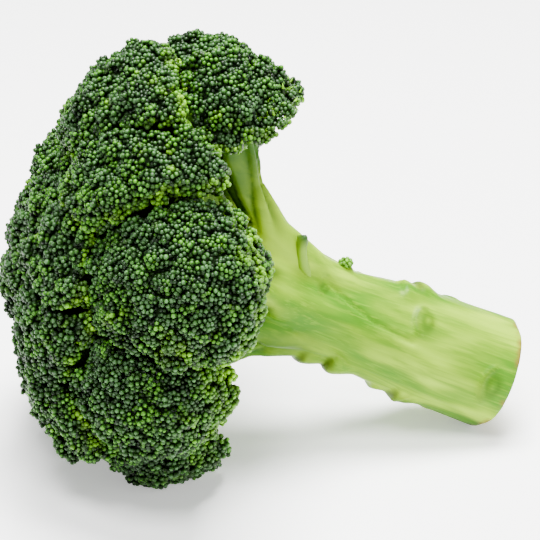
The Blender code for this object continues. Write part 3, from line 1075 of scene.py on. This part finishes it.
@dataclass
class BranchEnd:
    """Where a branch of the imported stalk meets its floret."""

    head: HeadFrame
    node: str
    lower_span: tuple[float, float] = (-19 * MM, -9 * MM)  # along the axis, from the floret's underside
    tip_span: tuple[float, float] = (-4 * MM, 4 * MM)
    widest: float = 14 * MM  # a corner further than this from the axis isn't the branch's
    axis: Vector = field(init=False)
    under: float = field(init=False)
    lower: Vector = field(init=False)
    tip: Vector = field(init=False)

    def __post_init__(self) -> None:
        """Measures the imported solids."""
        low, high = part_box(self.node)
        self.axis = ((low + high) / 2 - self.head.hub).normalized()
        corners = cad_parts[self.node].data.vertices
        self.under = min((corner.co - self.head.hub).dot(self.axis) for corner in corners)
        self.lower = self.middle(self.lower_span)
        self.tip = self.middle(self.tip_span)

    def middle(self, span: tuple[float, float]) -> Vector:
        """The middle of the branch's corners along a span of the floret's axis.

        Args:
            span: the span's two ends, from the floret's underside.

        Returns:
            Their middle, or the axis's own point where there are none.
        """
        start, end = self.under + span[0], self.under + span[1]
        found = []
        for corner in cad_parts["stalk"].data.vertices:
            offset = corner.co - self.head.hub
            along = offset.dot(self.axis)
            if start < along < end and (offset - self.axis * along).length < self.widest:
                found.append(corner.co)
        return sum(found, Vector()) / len(found) if found else self.head.hub + self.axis * (start + end) / 2

    def measured(self, places: np.ndarray, origin: Vector) -> tuple[np.ndarray, np.ndarray, np.ndarray]:
        """Where corners are, seen along the floret's axis.

        Args:
            places: the corners' places.
            origin: a point that the axis is moved to.

        Returns:
            For each, its distance past the floret's underside, its distance from the axis, and its turn.
        """
        side = self.axis.orthogonal().normalized()
        offset = places - np.array(origin)
        first, second = offset @ np.array(side), offset @ np.array(self.axis.cross(side))
        past = (places - np.array(self.head.hub)) @ np.array(self.axis) - self.under
        return past, np.hypot(first, second), np.arctan2(second, first)


@dataclass(frozen=True)
class Crease:
    """A crease in the stalk's skin, through points of height and azimuth in the head's frame."""

    points: tuple[tuple[float, float], ...]
    depth: float = 0.7 * MM
    width: float = 0.9 * MM

    def dent(self, height: np.ndarray, azimuth: np.ndarray, radius: float) -> np.ndarray:
        """How deep the crease is at each corner.

        Args:
            height: each corner's height along the stalk.
            azimuth: each corner's turn round it, in degrees.
            radius: the stalk's radius.

        Returns:
            A depth for each corner, with a raised lip on one side.
        """
        across = np.radians(azimuth) * radius
        best = np.full(len(height), 1.0)
        aside = np.zeros(len(height))
        for (h0, a0), (h1, a1) in zip(self.points, self.points[1:]):
            start = np.array((h0, math.radians(a0) * radius))
            step = np.array((h1, math.radians(a1) * radius)) - start
            offset = np.stack((height, across), axis=1) - start
            share = np.clip(offset @ step / (step @ step), 0, 1)
            gap = offset - share[:, None] * step
            distance = np.linalg.norm(gap, axis=1)
            closer = distance < best
            best = np.where(closer, distance, best)
            cross = step[0] * offset[:, 1] - step[1] * offset[:, 0]
            aside = np.where(closer, cross / np.linalg.norm(step), aside)
        lip = 0.5 * self.depth * np.exp(-(((best - 1.8 * MM) / (1.3 * MM)) ** 2))
        return self.depth * np.exp(-((best / self.width) ** 2)) - lip * smoothstep(aside, 0, 1.5 * MM)


@dataclass(frozen=True)
class LeafScar:
    """The mark where a leaf stalk broke off: a raised arc over a faint swelling."""

    height: float
    azimuth: float
    width: float
    rise: float = 0.6 * MM

    def oval(self, height: np.ndarray, azimuth: np.ndarray, radius: float) -> tuple[np.ndarray, np.ndarray]:
        """How far each corner is from the scar's middle, in its own sizes, and how far along the stalk.

        Args:
            height: each corner's height along the stalk.
            azimuth: each corner's turn round it, in degrees.
            radius: the stalk's radius.

        Returns:
            Both for each corner.
        """
        turn = (azimuth - self.azimuth + 180) % 360 - 180
        across = np.radians(turn) * radius / self.width
        along = (height - self.height) / (self.width * 0.8)
        return np.hypot(across, along), along

    def relief(self, height: np.ndarray, azimuth: np.ndarray, radius: float) -> tuple[np.ndarray, np.ndarray]:
        """How far the scar stands out, and how dark it is.

        Args:
            height: each corner's height along the stalk.
            azimuth: each corner's turn round it, in degrees.
            radius: the stalk's radius.

        Returns:
            Rise and darkness for each corner.
        """
        oval, along = self.oval(height, azimuth, radius)
        arc = np.exp(-(((oval - 1) / 0.2) ** 2)) * smoothstep(along, -0.2, 0.5)
        return self.rise * (arc + 0.6 * np.exp(-(oval**2) * 1.5)), arc

    def hollow(self, height: np.ndarray, azimuth: np.ndarray, radius: float) -> np.ndarray:
        """How green the scar's middle is at each corner, from 0 to 1."""
        oval = self.oval(height, azimuth, radius)[0]
        return np.exp(-(((oval - 0.45) / 0.35) ** 2))


@dataclass(frozen=True)
class LeafBase:
    """What is left of a leaf's stalk: a swelling that rises towards the crown and ends in a torn step."""

    height: float
    azimuth: float
    width: float
    rise: float
    length: float = 9 * MM

    def relief(self, height: np.ndarray, azimuth: np.ndarray, radius: float) -> tuple[np.ndarray, np.ndarray]:
        """The swelling's rise and the darkness of its torn edge at each corner.

        Args:
            height: each corner's height along the stalk.
            azimuth: each corner's turn round it, in degrees.
            radius: the stalk's radius.

        Returns:
            Rise and darkness for each corner.
        """
        turn = (azimuth - self.azimuth + 180) % 360 - 180
        across = np.radians(turn) * radius / self.width
        along = height - self.height
        spread = np.exp(-(across**4))
        climb = smoothstep(along, -self.length, -1 * MM)
        drop = 1 - smoothstep(along, 0, 3.5 * MM)
        torn = np.exp(-(((along - 1.6 * MM) / (1.3 * MM)) ** 2)) * spread
        return self.rise * spread * climb * drop, torn


@dataclass
class Stalk:
    """The stalk and its branches, smoothed, with creases, leaf scars and a clean cut."""

    head: HeadFrame
    branches: tuple[BranchEnd, ...]
    node: str = "stalk"
    voxel: float = 1.03 * MM
    smoothing: int = 10
    cut_radius: float = 20.6 * MM
    regain: float = 0.7 * MM
    flutes: int = 4
    flute_depth: float = 1.6 * MM
    fluted: tuple[float, float] = (-44 * MM, -28 * MM)  # flutes start here, from a floret's underside
    edge: tuple[float, float] = (9 * MM, 12 * MM)  # where a branch's own shape ends, from its axis
    reach: float = 9 * MM  # how far a branch's end is drawn out
    tail: float = 2.6 * MM  # how far the smoothed end is drawn out, before it is cut square
    mark_radius: float = 17.5 * MM  # the stalk's radius, as far as scars and leaf bases go
    crease_radius: float = 16.5 * MM  # the same for creases, which lie nearer the crown
    creases: tuple[Crease, ...] = (
        Crease(((-0.011, -29), (-0.0228, -52), (-0.0315, -63), (-0.0395, -67), (-0.047, -70)), 0.9 * MM),
        Crease(((-0.0068, -106), (-0.0144, -114), (-0.0242, -119), (-0.030, -126)), 0.7 * MM),
        Crease(((-0.016, 150), (-0.030, 128), (-0.044, 112)), 0.6 * MM),
        Crease(((-0.012, 60), (-0.028, 42), (-0.040, 30)), 0.6 * MM),
    )
    scars: tuple[LeafScar, ...] = (
        LeafScar(-0.0503, -43, 5 * MM, 0.6 * MM),
        LeafScar(-0.0805, -83, 5.5 * MM, 0.9 * MM),
        LeafScar(-0.0115, -42, 3 * MM, 0.5 * MM),
        LeafScar(-0.066, 40, 6 * MM),
        LeafScar(-0.072, 165, 6 * MM),
        LeafScar(-0.058, -150, 5 * MM),
        LeafScar(-0.036, 100, 6 * MM),
    )
    bases: tuple[LeafBase, ...] = (
        LeafBase(-0.049, 12, 6 * MM, 2.4 * MM),
        LeafBase(-0.017, -158, 7 * MM, 1.5 * MM, 12 * MM),
        LeafBase(-0.0265, -144, 6 * MM, 1.2 * MM, 11 * MM),
        LeafBase(-0.054, -153, 6 * MM, 2.0 * MM, 12 * MM),
        LeafBase(-0.030, 70, 6 * MM, 1.8 * MM),
        LeafBase(-0.060, 115, 5 * MM, 1.8 * MM),
    )

    def build(self) -> None:
        """Makes the stalk."""
        made = smooth_copy("stalk_flesh", self.node, self.voxel, self.smoothing)
        mesh = made.data
        places, normals = positions(mesh), corner_normals(mesh)
        local = self.head.to_head(places)
        height = local[:, 2]
        azimuth = np.degrees(np.arctan2(local[:, 1], local[:, 0]))
        spread = np.hypot(local[:, 0], local[:, 1])
        on_stem = smoothstep(-height, 2 * MM, 12 * MM)
        stretched = local * (1, 1, 0.3)
        rise = noise_at(stretched, 7 * MM) * 0.35 * MM
        rise += noise_at(local * (1, 1, 0.06), 1.7 * MM, 4.0) * 0.1 * MM
        for crease in self.creases:
            rise -= crease.dent(height, azimuth, self.crease_radius) * (spread > 9 * MM) * (height < 0)
        for mark in self.scars + self.bases:
            rise += mark.relief(height, azimuth, self.mark_radius)[0] * on_stem
        rise += self.regain - self.flute_depth * self.grooves(places)
        end = height.min()
        along = self.head.turn @ Vector((0, 0, -1))
        tail = (1 - smoothstep(height - end, 1 * MM, 6 * MM)) * self.tail
        moved = places + normals * rise[:, None] + np.array(along) * tail[:, None] + self.stretch(places)
        move_corners(mesh, moved)
        self.trim(made, end)
        self.colour(made, end)
        hand_over(made, Slot.FLESH, self.node)

    def stretch(self, places: np.ndarray) -> np.ndarray:
        """Draws each branch's end out, so that it reaches into the hollow under its floret.

        Args:
            places: the corners' places.

        Returns:
            A move for each corner.
        """
        moves = np.zeros_like(places)
        for branch in self.branches:
            past, aside, _ = branch.measured(places, branch.tip)
            share = smoothstep(past, -8 * MM, -1 * MM) * (1 - smoothstep(aside, *self.edge))
            moves += np.array(branch.axis) * (share * self.reach)[:, None]
        return moves

    def grooves(self, places: np.ndarray) -> np.ndarray:
        """The grooves between the ribs of each branch, deepest next to its floret.

        Args:
            places: the corners' places.

        Returns:
            0 to 1 for each corner.
        """
        deepest = np.zeros(len(places))
        for branch in self.branches:
            past, aside, turn = branch.measured(places, self.head.hub)
            close = 1 - smoothstep(aside, *self.edge)
            groove = np.exp(-((np.sin(turn * self.flutes / 2) / 0.55) ** 2))
            deepest = np.maximum(deepest, groove * close * smoothstep(past, *self.fluted))
        return deepest

    def trim(self, made: bpy.types.Object, end: float) -> None:
        """Cuts the rounded end off square, and closes it with a flat face of its own finish.

        Args:
            made: the stalk.
            end: height of its end in the head's frame.
        """
        along = self.head.turn @ Vector((0, 0, 1))
        point = self.head.to_world(Vector((0, 0, end)))
        shell = bmesh.new()
        shell.from_mesh(made.data)
        everything = shell.verts[:] + shell.edges[:] + shell.faces[:]
        cut = bmesh.ops.bisect_plane(shell, geom=everything, plane_co=point, plane_no=along, clear_inner=True)
        rim = [piece for piece in cut["geom_cut"] if isinstance(piece, bmesh.types.BMEdge)]
        filled = bmesh.ops.holes_fill(shell, edges=rim, sides=0)
        for face in filled["faces"]:
            face.material_index = 1
            face.smooth = False
        bmesh.ops.triangulate(shell, faces=filled["faces"])
        for corner in shell.verts:
            corner.co.z = max(corner.co.z, 0.0)
        shell.to_mesh(made.data)
        shell.free()
        flesh = FleshFinish("Stalk flesh in waxy skin", self.head)
        cut_face = CutFinish("Knife-cut pith", centre=point, radius=self.cut_radius)
        made.data.materials.clear()
        made.data.materials.append(flesh.material())
        made.data.materials.append(cut_face.material())

    def colour(self, made: bpy.types.Object, end: float) -> None:
        """Paints where the flesh is pale, partly as a painted highlight, where painted shade falls, and where
        it is scarred and dried.

        Args:
            made: the stalk.
            end: height of its end in the head's frame.
        """
        mesh = made.data
        local = self.head.to_head(positions(mesh))
        height = local[:, 2]
        azimuth = np.degrees(np.arctan2(local[:, 1], local[:, 0]))
        scarred = np.zeros(len(local))
        for scar in self.scars:
            scarred = np.maximum(scarred, scar.relief(height, azimuth, self.mark_radius)[1] * 0.35)
        for base in self.bases:
            scarred = np.maximum(scarred, base.relief(height, azimuth, self.mark_radius)[1] * 0.9)
        near_cut = smoothstep(end + 2.2 * MM - height, 0, 1.6 * MM)
        brown = near_cut * smoothstep(noise_at(local, 5 * MM, 2.0), -0.15, 0.3)
        # A painted highlight: a pale streak along the stalk's upper side, towards its cut end.
        streak = np.exp(-(((azimuth + 19) / 9) ** 2)) * smoothstep(-height, 48 * MM, 60 * MM)
        crotch = np.exp(-(((azimuth + 22) / 30) ** 2)) * smoothstep(height, -6 * MM, 6 * MM) * 0.7
        pale = np.maximum(streak * 0.8, crotch) * (1 - smoothstep(height, 18 * MM, 26 * MM))
        # Painted shade: darker green on the hub's underside and on the branches under the crown.
        under = np.exp(-(((azimuth + 128) / 26) ** 2)) * smoothstep(height, -26 * MM, -8 * MM)
        shaded = np.maximum(under * 0.7, smoothstep(height, 12 * MM, 32 * MM) * 0.8)
        # The scars' darker middles are their own colour, kept with the painted shade.
        for scar in self.scars:
            shaded = np.maximum(shaded, scar.hollow(height, azimuth, self.mark_radius) * 0.6)
        paint(mesh, "pale", pale)
        # The groove attribute is painted shade in the grooves between the ribs, under the hub and under the
        # crown, with the scars' own darker middles.
        paint(mesh, "groove", np.clip(np.maximum(self.grooves(positions(mesh)) * 0.9, shaded), 0, 1))
        paint(mesh, "scar", scarred * (height < -8 * MM))
        paint(mesh, "dried", brown * 0.8)


@dataclass
class StemTree:
    """A Geometry Nodes tree that turns painted paths into tapered closed stems.

    A path's own attributes steer it: along is 0 at its start and 1 at its end, and girth scales its
    thickness at each corner.
    """

    sides: int = 8
    tree: bpy.types.NodeTree = field(init=False)
    sockets: dict[str, str] = field(init=False, default_factory=dict)

    def __post_init__(self) -> None:
        """Builds the tree."""
        tree = self.tree = bpy.data.node_groups.new("Tapered stems", "GeometryNodeTree")
        for name, kind in (
            ("Geometry", "NodeSocketGeometry"),
            ("Thick", "NodeSocketFloat"),
            ("Thin", "NodeSocketFloat"),
            ("Sides", "NodeSocketInt"),
            ("Finish", "NodeSocketMaterial"),
        ):
            self.sockets[name] = tree.interface.new_socket(name, in_out="INPUT", socket_type=kind).identifier
        tree.interface.new_socket("Geometry", in_out="OUTPUT", socket_type="NodeSocketGeometry")
        given = add_node(tree, "NodeGroupInput").outputs
        paths = add_node(tree, "GeometryNodeMeshToCurve", None, {"Mesh": given["Geometry"]}).outputs[0]
        along, girth = (
            add_node(tree, NAMED, {"data_type": "FLOAT"}, {"Name": name}).outputs["Attribute"]
            for name in ("along", "girth")
        )
        inputs = {"Value": along, "To Min": given["Thick"], "To Max": given["Thin"]}
        taper = add_node(tree, RANGE, None, inputs).outputs[0]
        radius = add_node(tree, MATH, TIMES, {0: taper, 1: girth}).outputs[0]
        inputs = {"Resolution": given["Sides"], "Radius": 1.0}
        circle = add_node(tree, "GeometryNodeCurvePrimitiveCircle", None, inputs).outputs[0]
        inputs = {"Curve": paths, "Profile Curve": circle, "Scale": radius, "Fill Caps": True}
        tube = add_node(tree, "GeometryNodeCurveToMesh", None, inputs).outputs[0]
        real = add_node(tree, "GeometryNodeRealizeInstances", None, {0: tube}).outputs[0]
        inputs = {"Geometry": real, "Material": given["Finish"]}
        dressed = add_node(tree, "GeometryNodeSetMaterial", None, inputs).outputs[0]
        add_node(tree, "NodeGroupOutput", None, {0: dressed})

    def grow(
        self, name: str, paths: list[list[tuple[Vector, float]]], thick: float, thin: float, finish: Finish
    ) -> bpy.types.Object:
        """Makes stems along paths.

        Args:
            name: the new object's name.
            paths: for each stem, its corners and its girth at each.
            thick: radius at a path's start.
            thin: radius at its end.
            finish: the stems' finish.

        Returns:
            The stems, as one plain mesh.
        """
        corners, edges, along, girths = [], [], [], []
        for path in paths:
            for i, (corner, girth) in enumerate(path):
                corners.append(corner)
                along.append(i / (len(path) - 1))
                girths.append(girth)
                if i:
                    edges.append((len(corners) - 2, len(corners) - 1))
        mesh = bpy.data.meshes.new(name)
        mesh.from_pydata(corners, edges, [])
        paint(mesh, "along", np.array(along))
        paint(mesh, "girth", np.array(girths))
        made = link(name, mesh)
        modifier = made.modifiers.new("stems", "NODES")
        modifier.node_group = self.tree
        values = {"Thick": thick, "Thin": thin, "Sides": self.sides, "Finish": finish.material()}
        for key, value in values.items():
            modifier[self.sockets[key]] = value
        evaluated(made)
        for face in made.data.polygons:
            face.use_smooth = True
        return made


@dataclass
class Branchlets:
    """The thin stems that fan out from each rim branch into its floret.

    They start below the floret's underside and end above it, inside the floret.
    """

    branches: tuple[BranchEnd, ...]
    thick: float = 1.8 * MM
    thin: float = 1.0 * MM
    count: int = 17
    start: float = -2 * MM  # where the fan starts, from the branch's tip
    finish: float = 10 * MM  # where it ends
    bundle: float = 3.6 * MM  # its radius there at the start
    spread: float = 13.4 * MM  # how much wider it is at the end
    golden_turn: float = 2.4  # radians from one stem to the next, which fills a disc evenly
    steps: int = 6
    seed: int = 11

    def paths(self) -> list[list[tuple[Vector, float]]]:
        """Draws the stems' middle lines: bundled in the branch, then fanned out under the floret.

        Returns:
            For each stem, its corners and its girth at each.
        """
        draw = random.Random(self.seed)
        paths = []
        for branch in self.branches:
            side = branch.axis.orthogonal().normalized()
            for k in range(self.count):
                angle = k * self.golden_turn + draw.uniform(-0.2, 0.2)
                turn = Matrix.Rotation(angle, 3, branch.axis) @ side
                reach = math.sqrt((k + 0.6) / self.count)
                path = [(branch.lower + turn * 1.5 * MM * reach, 0.8)]
                for i in range(self.steps):
                    share = i / (self.steps - 1)
                    out = (self.bundle + self.spread * share**1.5) * reach
                    rise = self.start + (self.finish - self.start) * share
                    path.append((branch.tip + branch.axis * rise + turn * out, 1.0 - 0.1 * share))
                paths.append(path)
        return paths

    def build(self, stems: StemTree) -> None:
        """Makes the stems, with the tree that gives the paths their thickness."""
        made = stems.grow("branchlets", self.paths(), self.thick, self.thin, STEMS)
        hand_over(made, Slot.FLESH)


@dataclass
class SideShoot:
    """A young shoot on the stalk: a short bent stem under a knot of closed buds."""

    head: HeadFrame
    node: str = "side_shoot"
    bud: float = 0.95 * MM
    count: int = 26
    golden_turn: float = 2.4  # radians from one bud to the next, which fills a ball evenly
    seed: int = 4
    thick: float = 1.7 * MM
    thin: float = 1.1 * MM
    swelling: float = 1.15  # the knot's size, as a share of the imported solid's
    drawn_in: float = 0.38  # how far the knot is moved towards its root, as a share of the way
    feet: float = 0.72  # how far the buds' feet are from the knot's middle, as a share of its size

    def root(self, middle: Vector) -> Vector:
        """Where the shoot leaves the stalk.

        Args:
            middle: the middle of its knot of buds.

        Returns:
            A point a little under the stalk's surface.
        """
        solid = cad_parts["stalk"].data
        corners = [corner.co.copy() for corner in solid.vertices]
        tree = BVHTree.FromPolygons(corners, [tuple(face.vertices) for face in solid.polygons])
        place, normal = tree.find_nearest(middle)[:2]
        down = self.head.turn @ Vector((0, 0, -1))
        return place - normal * 1.2 * MM + down * 1.5 * MM

    def build(self, stems: StemTree, shape: bpy.types.Object) -> None:
        """Makes the shoot.

        Args:
            stems: the tree that gives a path its thickness.
            shape: the bud that the knot is made of.
        """
        low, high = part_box(self.node)
        size = (high - low) / 2 * self.swelling
        root = self.root((low + high) / 2)
        middle = (low + high) / 2 * (1 - self.drawn_in) + root * self.drawn_in
        bend = (root + middle) / 2 + (middle - root).orthogonal().normalized() * 0.3 * MM
        path = [(root, 1.25), (bend, 1.0), (middle, 1.1)]
        stem = stems.grow("side_shoot_knot", [path], self.thick, self.thin, STEMS)
        join(stem, self.knot(middle, size, shape))
        hand_over(stem, Slot.BUDS, self.node)

    def knot(self, middle: Vector, size: Vector, shape: bpy.types.Object) -> bpy.types.Object:
        """Makes the knot of buds, which point away from its middle.

        Args:
            middle: its middle.
            size: half its size along each axis.
            shape: the bud that it is made of.

        Returns:
            The painted buds.
        """
        shell = bmesh.new()
        for i in range(self.count):
            rise = 1 - 2 * (i + 0.5) / self.count
            level = math.sqrt(1 - rise * rise)
            turn = i * self.golden_turn
            way = Vector((level * math.cos(turn), level * math.sin(turn), rise))
            place = middle + Vector((way.x * size.x, way.y * size.y, way.z * size.z)) * self.feet
            upright = way.to_track_quat("Z", "Y").to_matrix().to_4x4()
            first = len(shell.verts)
            shell.from_mesh(shape.data)
            shell.verts.ensure_lookup_table()
            placed = Matrix.Translation(place) @ upright @ Matrix.Scale(self.bud, 4)
            bmesh.ops.transform(shell, matrix=placed, verts=shell.verts[first:])
        knot = bpy.data.meshes.new("knot")
        shell.to_mesh(knot)
        shell.free()
        tones = np.random.default_rng(self.seed).uniform(0.3, 1, self.count)
        paint(knot, "tone", np.repeat(tones, len(shape.data.vertices)))
        for name, value in (("border", 1.0), ("fresh", 0.5), ("family", 0.8), ("lime", 0.35)):
            paint(knot, name, np.full(len(knot.vertices), value))
        knot.materials.append(BUDS.material())
        return link("knot", knot)


@dataclass
class CurledLeaf:
    """A stunted leaf that clasps the stalk at the foot of a branch and curls back at its tip.

    Its path is given in the head's frame, as height, azimuth and distance from the stalk's axis.
    """

    head: HeadFrame
    path: tuple[tuple[float, float, float], ...] = (
        (-0.0090, -33, 0.0120),
        (-0.0045, -30, 0.0150),
        (-0.0015, -27, 0.0176),
        (0.0007, -23, 0.0205),
        (0.0022, -20, 0.0232),
        (0.0030, -18, 0.0256),
        (0.0024, -18, 0.0272),
    )
    girths: tuple[float, ...] = (0.6, 1.0, 1.15, 1.0, 1.0, 1.2, 0.4)
    radius: float = 1.9 * MM

    def build(self, stems: StemTree) -> None:
        """Makes the leaf.

        Args:
            stems: the tree that gives the path its thickness.
        """
        path = []
        for (height, azimuth, spread), girth in zip(self.path, self.girths):
            turn = math.radians(azimuth)
            place = Vector((spread * math.cos(turn), spread * math.sin(turn), height))
            path.append((self.head.to_world(place), girth))
        hand_over(stems.grow("curled_leaf", [path], self.radius, self.radius, LEAF), Slot.FLESH)


@dataclass(frozen=True)
class SoftBox:
    """A square soft light: where it hangs, the length of its sides and its power in watts."""

    name: str
    place: tuple[float, float, float]
    size: float
    power: float


@dataclass
class Studio:
    """Pale floor, soft lights and the camera."""

    head: HeadFrame
    lights: tuple[SoftBox, ...] = (
        SoftBox("key", (-0.25, -0.5, 1.25), 0.5, 29),
        SoftBox("top", (0.12, 0.2, 1.2), 0.6, 78),
        SoftBox("fill", (0.9, -0.9, 0.5), 0.9, 10),
    )
    sky: str = "#f6f8fb"
    sky_strength: float = 0.45
    floor_size: float = 6.0
    floor_drop: float = 0.05 * MM  # the floor lies this far below the head, so that they don't flicker
    azimuth: float = math.radians(-9.9)
    elevation: float = math.radians(24)
    distance: float = 0.93
    lens: float = 177.8
    aim_right: float = -2.1 * MM
    aim_up: float = 8.0 * MM

    def floor(self) -> None:
        """A white floor that runs out of every view."""
        shell = bmesh.new()
        bmesh.ops.create_grid(shell, x_segments=1, y_segments=1, size=self.floor_size)
        mesh = bpy.data.meshes.new("floor")
        shell.to_mesh(mesh)
        shell.free()
        mesh.materials.append(FLOOR.material())
        made = link("floor", mesh)
        made.location.z = -self.floor_drop

    def light(self, box: SoftBox) -> None:
        """Hangs a soft light and turns it to the head.

        Args:
            box: the light.
        """
        data = bpy.data.lights.new(box.name, "AREA")
        data.shape = "SQUARE"
        data.size = box.size
        data.energy = box.power
        made = bpy.data.objects.new(box.name, data)
        bpy.context.scene.collection.objects.link(made)
        made.location = box.place
        made.rotation_mode = "QUATERNION"
        made.rotation_quaternion = (self.head.hub - Vector(box.place)).to_track_quat("-Z", "Y")

    def camera(self) -> None:
        """Puts the camera at the head's viewing angle."""
        level = math.cos(self.elevation)
        back = Vector(
            (math.sin(self.azimuth) * level, -math.cos(self.azimuth) * level, math.sin(self.elevation))
        )
        right = Vector((math.cos(self.azimuth), math.sin(self.azimuth), 0))
        up = back.cross(right)
        data = bpy.data.cameras.new("camera")
        data.lens = self.lens
        data.clip_start, data.clip_end = 0.01, 50
        made = bpy.data.objects.new("camera", data)
        bpy.context.scene.collection.objects.link(made)
        made.location = self.head.hub + right * self.aim_right + up * self.aim_up + back * self.distance
        made.rotation_mode = "QUATERNION"
        made.rotation_quaternion = (-back).to_track_quat("-Z", "Y")
        bpy.context.scene.camera = made

    def build(self) -> None:
        """Makes the floor, lights, surroundings and camera."""
        self.floor()
        for box in self.lights:
            self.light(box)
        world = bpy.data.worlds.new("studio")
        bpy.context.scene.world = world
        world.use_nodes = True
        sky = world.node_tree.nodes["Background"]
        sky.inputs["Color"].default_value = linear(self.sky)
        sky.inputs["Strength"].default_value = self.sky_strength
        self.camera()


@dataclass
class Broccoli:
    """The whole head. A bud shape's profile has rows of radius, height and how near the tip they are."""

    head: HeadFrame
    first_seed: int = 20
    bud_shapes: tuple[BudShape, ...] = (
        BudShape("Sessile bud", ((0.0, -1.7, 0.0), (1.0, -0.2, 0.25), (0.76, 0.56, 0.78), (0.0, 0.86, 1.0))),
        BudShape("Pointed bud", ((0.0, -1.7, 0.0), (0.95, -0.2, 0.25), (0.68, 0.62, 0.78), (0.0, 1.04, 1.0))),
        BudShape(
            "Stemmed bud",
            ((0.0, -3.6, -0.2), (0.34, -2.4, -0.2), (0.98, 0.0, 0.35), (0.66, 0.66, 0.85), (0.0, 0.94, 1.0)),
        ),
    )
    # These undersides are raised, so that the branches below them show.
    lifts: tuple[tuple[str, float], ...] = (("floret_rim_2", 5.5 * MM), ("floret_mid_1", 4 * MM))

    def florets(self) -> list[str]:
        """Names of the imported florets."""
        return sorted(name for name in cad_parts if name.startswith("floret_"))

    def others(self, node: str) -> BVHTree:
        """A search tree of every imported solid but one.

        Args:
            node: the solid that is left out.

        Returns:
            The search tree.
        """
        corners, faces = [], []
        for name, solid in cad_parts.items():
            if name != node:
                first = len(corners)
                corners.extend(corner.co.copy() for corner in solid.data.vertices)
                faces.extend(tuple(first + i for i in face.vertices) for face in solid.data.polygons)
        return BVHTree.FromPolygons(corners, faces)

    def build(self) -> None:
        """Makes every piece of the head."""
        ends = tuple(BranchEnd(self.head, name) for name in self.florets() if "rim" in name or "mid" in name)
        Stalk(self.head, ends).build()
        stems = StemTree()
        Branchlets(tuple(end for end in ends if "rim" in end.node)).build(stems)
        CurledLeaf(self.head).build(stems)
        field_ = BudField()
        shapes = {shape.name: shape.build() for shape in self.bud_shapes}
        SideShoot(self.head).build(stems, shapes["Sessile bud"])
        lifts = dict(self.lifts)
        for seed, node in enumerate(self.florets(), start=self.first_seed):
            floret = Floret(node, self.head, seed, lift=lifts.get(node, 0.0))
            floret.build(self.others(node), field_, shapes)
        for shape in shapes.values():
            bpy.data.objects.remove(shape)


def main() -> None:
    """Builds the head and its studio."""
    logging.basicConfig(level=logging.INFO, format="%(message)s")
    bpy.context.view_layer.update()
    head = HeadFrame(hub=HUB)
    Broccoli(head).build()
    Studio(head).build()


if __name__ == "__main__":
    main()
